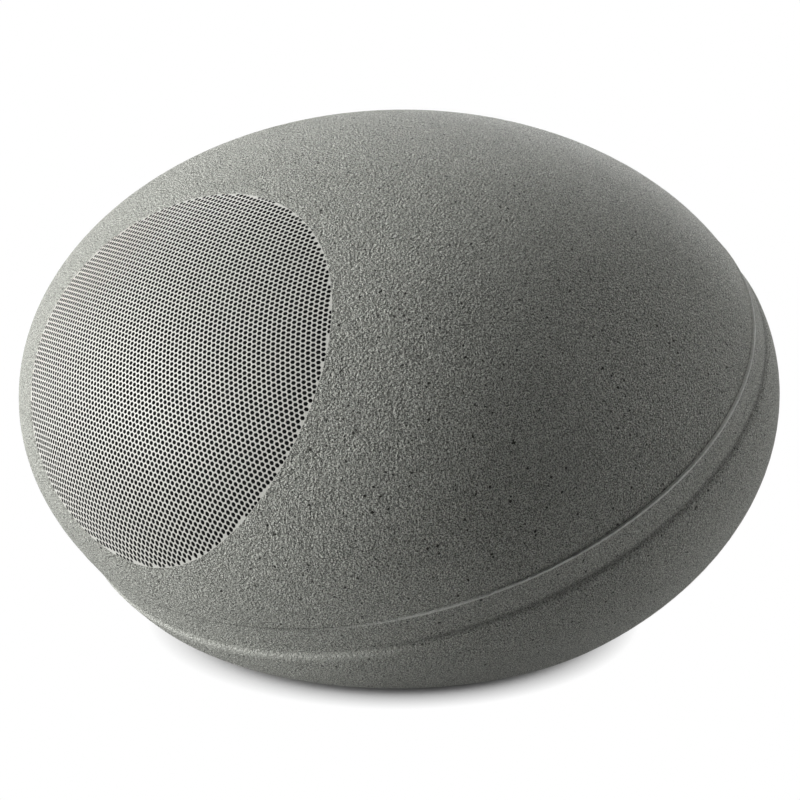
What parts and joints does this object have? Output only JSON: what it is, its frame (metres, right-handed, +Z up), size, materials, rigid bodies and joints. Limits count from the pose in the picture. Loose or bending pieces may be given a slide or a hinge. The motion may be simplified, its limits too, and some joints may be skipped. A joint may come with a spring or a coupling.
{
  "type": "garden loudspeaker",
  "caption": "Pebble shaped weatherproof garden loudspeaker: two stone grained shells on a slanting seam, with a round domed perforated grille over a coaxial driver.",
  "frame": {"origin": "middle of the bounding box on the ground, under the foot ring", "axes": "+Z up, the grille faces -Y, X is across the symmetric left and right sides"},
  "size_m": [0.4032, 0.4082, 0.271],
  "materials": {
    "stone_shell": "moulded, fine stone grain",
    "grille_paint": "fine powder coat",
    "black_rubber": "matt",
    "black_cloth": "woven",
    "cast_alloy": "cast, black coat",
    "plated_steel": "zinc plated",
    "magnet_grey": "ground",
    "cone_fibre": "glass fibre skin",
    "former_film": "amber film",
    "copper": "enamelled wire",
    "dome_alloy": "satin",
    "black_plastic": "moulded",
    "board_green": "solder mask",
    "capacitor_film": "tape wrap",
    "ceramic": "fired",
    "terminal_plastic": "moulded",
    "lug_brass": "tinned",
    "lead_sleeve": "smooth sleeve",
    "fibre_pad": "carded fibre"
  },
  "bodies": {
    "cabinet": {"upper_shell": "stone_shell", "lower_shell": "stone_shell", "grille": "grille_paint", "seam_gasket": "black_rubber", "foot_ring": "black_rubber", "driver_gasket": "black_rubber", "surround": "black_rubber", "tweeter_surround": "black_rubber", "gland_washer": "black_rubber", "gland_seal": "black_rubber", "grille_cloth": "black_cloth", "spider": "black_cloth", "driver_frame": "cast_alloy", "tweeter_stem": "cast_alloy", "driver_screws": "plated_steel", "board_screws": "plated_steel", "top_plate": "plated_steel", "yoke": "plated_steel", "tweeter_cup": "plated_steel", "tweeter_pole_plate": "plated_steel", "magnet": "magnet_grey", "tweeter_magnet": "magnet_grey", "inductor_windings": "copper", "tweeter_face": "black_plastic", "inductor_bobbins": "black_plastic", "gland_body": "black_plastic", "gland_nut": "black_plastic", "gland_locknut": "black_plastic", "crossover_board": "board_green", "capacitors": "capacitor_film", "resistor": "ceramic", "terminal_block": "terminal_plastic", "driver_terminals": "lug_brass", "woofer_leads": "lead_sleeve", "tweeter_leads": "lead_sleeve", "damping_pad": "fibre_pad"},
    "cone_assembly": {"cone": "cone_fibre", "voice_coil_former": "former_film", "voice_coil": "copper"},
    "tweeter_diaphragm": {"tweeter_dome": "dome_alloy", "tweeter_coil": "copper"}
  },
  "joints": [
    {"name": "cone_travel", "type": "slide", "parent": "cabinet", "child": "cone_assembly", "axis": [0, -0.8508, 0.5255], "range_m": [-0.005, 0.005], "stiffness_N_per_m": 2200, "deforming": ["surround", "spider"]},
    {"name": "tweeter_travel", "type": "slide", "parent": "cabinet", "child": "tweeter_diaphragm", "axis": [0, -0.8508, 0.5255], "range_m": [-0.0003, 0.0003], "stiffness_N_per_m": 1500, "deforming": ["tweeter_surround"]}
  ]
}
